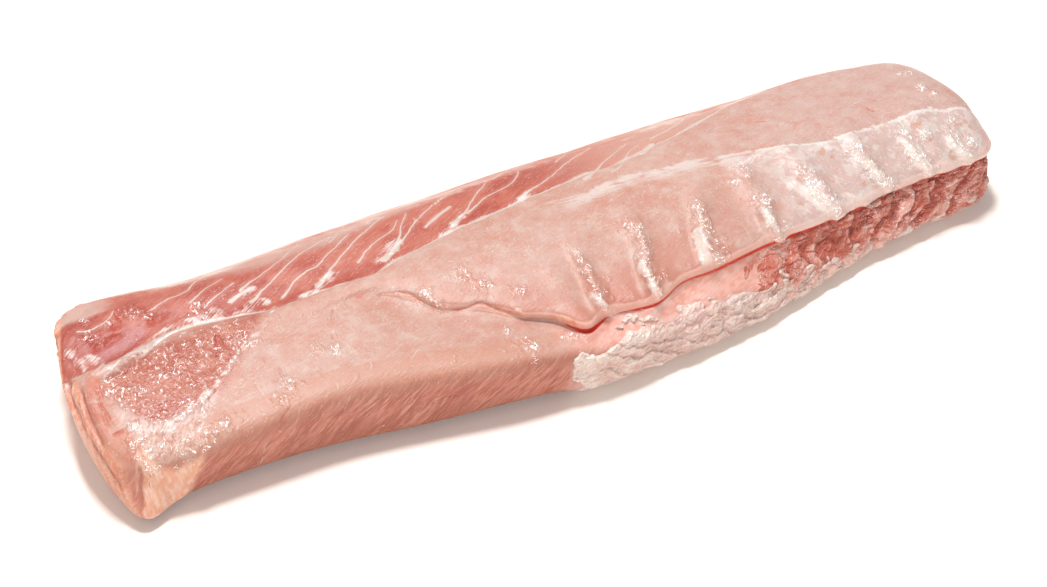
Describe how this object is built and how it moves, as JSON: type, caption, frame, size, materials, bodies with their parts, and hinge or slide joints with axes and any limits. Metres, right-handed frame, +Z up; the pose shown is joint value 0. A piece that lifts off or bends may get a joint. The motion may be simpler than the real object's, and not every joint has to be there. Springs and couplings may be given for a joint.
{
  "type": "raw boneless pork loin",
  "caption": "Long raw cut of pork lying rib side up, with a wavy flap over the eye muscle, rib marks and trimmed fat along one side.",
  "frame": {"origin": "on the surface it lies on, under the middle of its bounding box", "axes": "+X along the loin towards the rib end, +Y towards the spine side, +Z up"},
  "size_m": [0.5204, 0.1522, 0.0579],
  "materials": {
    "lean": "moist raw meat",
    "fat": "soft moist fat",
    "membrane": "thin wet membrane"
  },
  "bodies": {
    "root": {"pork_loin": "lean"}
  },
  "joints": []
}
